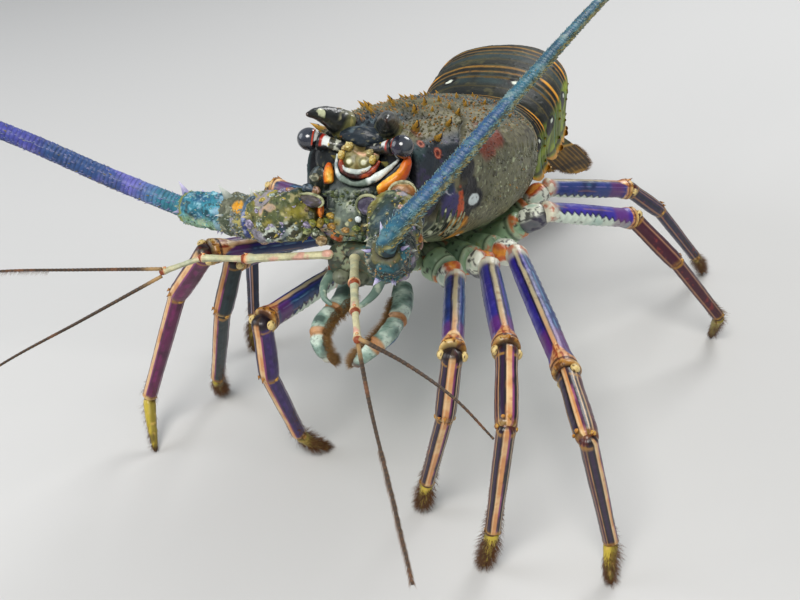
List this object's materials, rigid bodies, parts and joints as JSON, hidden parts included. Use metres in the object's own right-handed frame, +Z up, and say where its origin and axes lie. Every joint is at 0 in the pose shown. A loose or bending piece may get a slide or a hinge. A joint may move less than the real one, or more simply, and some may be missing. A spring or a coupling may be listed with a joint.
{
  "type": "spiny lobster",
  "caption": "Life-size still model of a Caribbean spiny lobster standing with its head raised, long antennae swept to the side and back and its tail curved down.",
  "frame": {"origin": "on the floor plane, under the middle of the bounding box", "axes": "the head faces -Y, the animal's left is +X and +Z is up"},
  "size_m": [0.4878, 0.4472, 0.2063],
  "materials": {
    "carapace_shell": "mottled olive-grey shell, satin",
    "head_plate": "cream-tan shell, satin",
    "horn_shell": "dark shell, semi-gloss",
    "eye_cornea": "dark glossy cornea",
    "antenna_shell": "blue-violet shell, semi-gloss",
    "leg_shell": "indigo shell with pale stripes, semi-gloss",
    "tail_shell": "olive-brown shell, semi-gloss",
    "tail_fan": "amber-brown flexible blades, satin",
    "underside": "pale mint shell, satin"
  },
  "bodies": {
    "root": {"abdomen_1": "tail_shell", "abdomen_2": "tail_shell", "abdomen_3": "tail_shell", "abdomen_4": "tail_shell", "abdomen_5": "tail_shell", "abdomen_6": "tail_shell", "antenna_left_base": "antenna_shell", "antenna_left_flagellum_inner": "antenna_shell", "antenna_left_flagellum_outer": "antenna_shell", "antenna_left_last": "antenna_shell", "antenna_left_middle": "antenna_shell", "antenna_right_base": "antenna_shell", "antenna_right_flagellum_inner": "antenna_shell", "antenna_right_flagellum_outer": "antenna_shell", "antenna_right_last": "antenna_shell", "antenna_right_middle": "antenna_shell", "antennular_plate": "head_plate", "antennule_left": "head_plate", "antennule_left_flagellum_inner": "horn_shell", "antennule_left_flagellum_outer": "horn_shell", "antennule_right": "head_plate", "antennule_right_flagellum_inner": "horn_shell", "antennule_right_flagellum_outer": "horn_shell", "carapace": "carapace_shell", "eye_left": "eye_cornea", "eye_right": "eye_cornea", "eyestalk_left": "horn_shell", "eyestalk_right": "horn_shell", "horn_left": "horn_shell", "horn_right": "horn_shell", "leg_left_1_lower": "leg_shell", "leg_left_1_upper": "leg_shell", "leg_left_2_lower": "leg_shell", "leg_left_2_upper": "leg_shell", "leg_left_3_lower": "leg_shell", "leg_left_3_upper": "leg_shell", "leg_left_4_lower": "leg_shell", "leg_left_4_upper": "leg_shell", "leg_left_5_lower": "leg_shell", "leg_left_5_upper": "leg_shell", "leg_right_1_lower": "leg_shell", "leg_right_1_upper": "leg_shell", "leg_right_2_lower": "leg_shell", "leg_right_2_upper": "leg_shell", "leg_right_3_lower": "leg_shell", "leg_right_3_upper": "leg_shell", "leg_right_4_lower": "leg_shell", "leg_right_4_upper": "leg_shell", "leg_right_5_lower": "leg_shell", "leg_right_5_upper": "leg_shell", "maxilliped_left": "underside", "maxilliped_right": "underside", "mouth_frame": "underside", "sternum": "underside", "telson": "tail_fan", "uropod_inner_left": "tail_fan", "uropod_inner_right": "tail_fan", "uropod_outer_left": "tail_fan", "uropod_outer_right": "tail_fan"}
  },
  "joints": []
}
